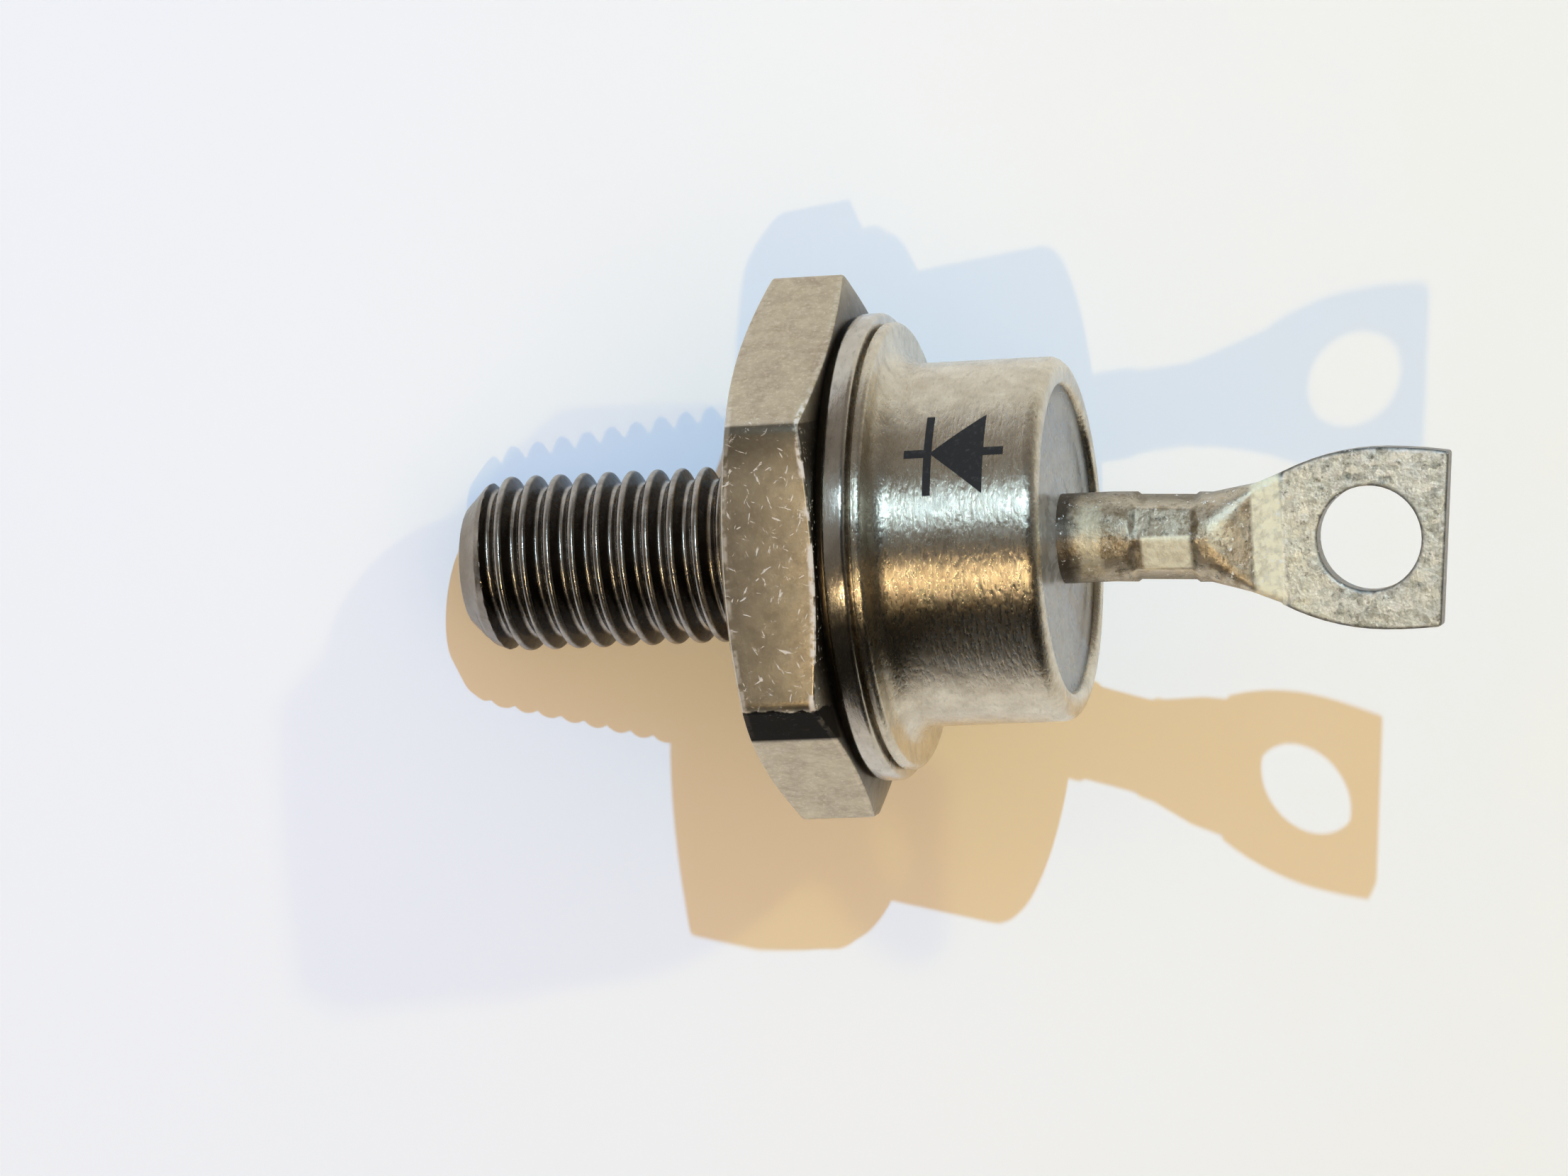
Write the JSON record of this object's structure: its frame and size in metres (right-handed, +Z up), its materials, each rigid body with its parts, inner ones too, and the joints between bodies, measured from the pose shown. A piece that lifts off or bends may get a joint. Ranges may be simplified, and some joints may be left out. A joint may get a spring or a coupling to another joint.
{
  "type": "stud mount diode",
  "caption": "Stud mount rectifier diode: threaded stud, hexagonal base, welded round cap with a glass seal, and a crimped tube terminal pressed into a pierced solder blade.",
  "frame": {"origin": "on the table, under the middle of the whole diode as it lies", "axes": "+Z up; the diode's own axis lies in the XZ plane, with the stud's tip towards -X and the terminal raised towards +X"},
  "size_m": [0.0327, 0.0194, 0.0191],
  "materials": {
    "nickel_plated_copper": "satin",
    "ring_steel": "satin",
    "cap_nickel": "satin",
    "seal_glass": "satin",
    "tinned_copper": "matte",
    "lead_copper": "satin",
    "solder": "satin",
    "braze": "satin",
    "molybdenum": "satin",
    "silicon": "satin",
    "silicone": "matte"
  },
  "bodies": {
    "root": {"base_stud": "nickel_plated_copper", "braze_ring": "braze", "weld_ring": "ring_steel", "cap_shell": "cap_nickel", "glass_seal": "seal_glass", "terminal": "tinned_copper", "base_solder": "solder", "lower_disc": "molybdenum", "lower_die_solder": "solder", "silicon_die": "silicon", "upper_die_solder": "solder", "upper_disc": "molybdenum", "lead_solder": "solder", "die_coating": "silicone", "internal_lead": "lead_copper"}
  },
  "joints": []
}
